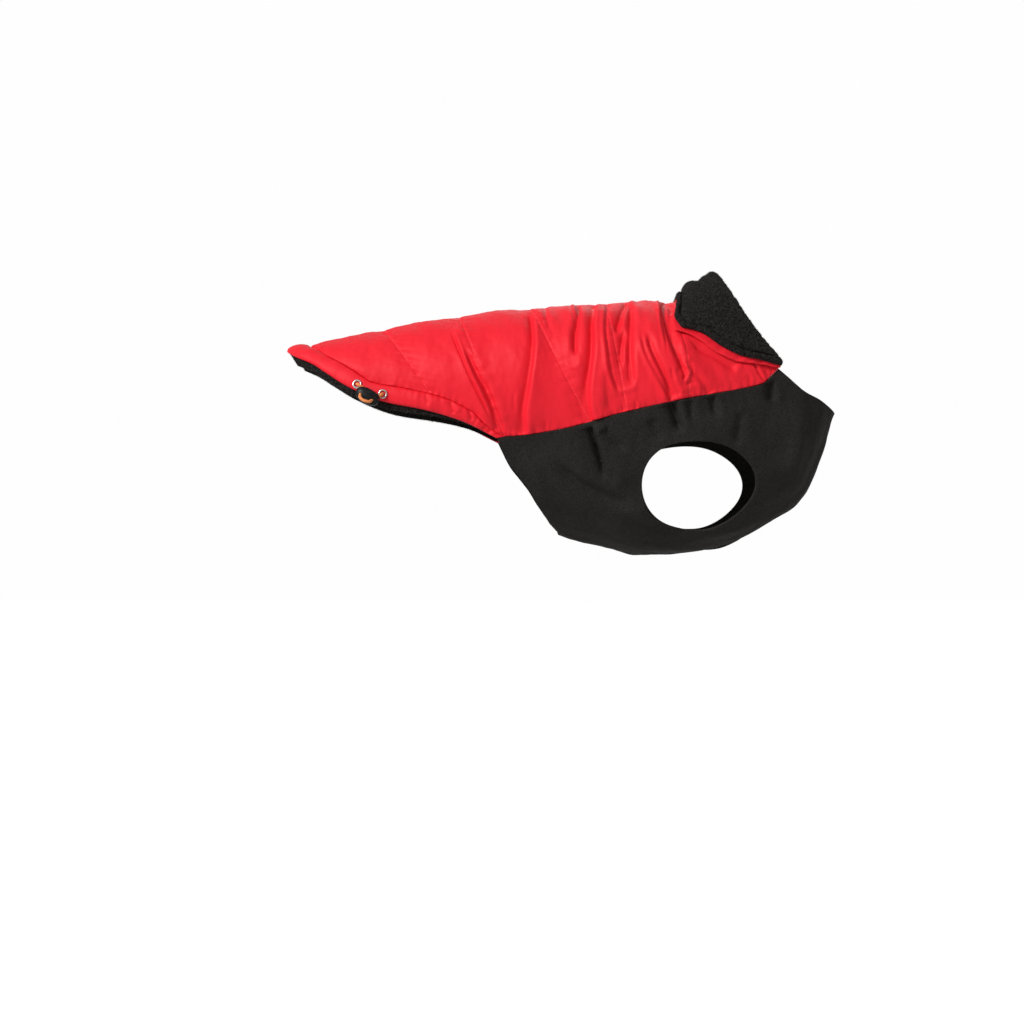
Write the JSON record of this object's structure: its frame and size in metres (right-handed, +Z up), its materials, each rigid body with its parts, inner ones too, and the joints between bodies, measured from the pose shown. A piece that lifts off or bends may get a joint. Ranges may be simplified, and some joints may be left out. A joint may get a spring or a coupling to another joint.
{
  "type": "quilted dog coat",
  "caption": "Quilted dog coat: padded back, turned-down fleece collar, softshell under panels with armholes, rear casing with cord lock; open neck and hem.",
  "frame": {"origin": "on the inner face of the back lining, on the spine over the withers, where the wearer's back holds the coat up", "axes": "+X toward the neck along the back, +Z up, -Y the wearer's right side, which carries the cord lock"},
  "size_m": [0.5466, 0.1996, 0.2819],
  "materials": {
    "red_satin": "satin polyester shell",
    "black_fleece": "brushed fleece nap",
    "black_softshell": "matt softshell",
    "orange_elastic": "braided elastic cord",
    "nickel_silver": "plated, worn",
    "black_plastic": "moulded, satin"
  },
  "bodies": {
    "root": {"back_panel": "red_satin", "back_lining": "black_fleece", "hem_casing": "red_satin", "under_panel_right": "black_softshell", "under_panel_left": "black_softshell", "collar_shell": "red_satin", "collar_fleece": "black_fleece", "eyelet_rear": "nickel_silver", "eyelet_front": "nickel_silver", "cord_lock_body": "black_plastic", "cord_lock_plunger": "black_plastic", "drawcord": "orange_elastic"}
  },
  "joints": []
}
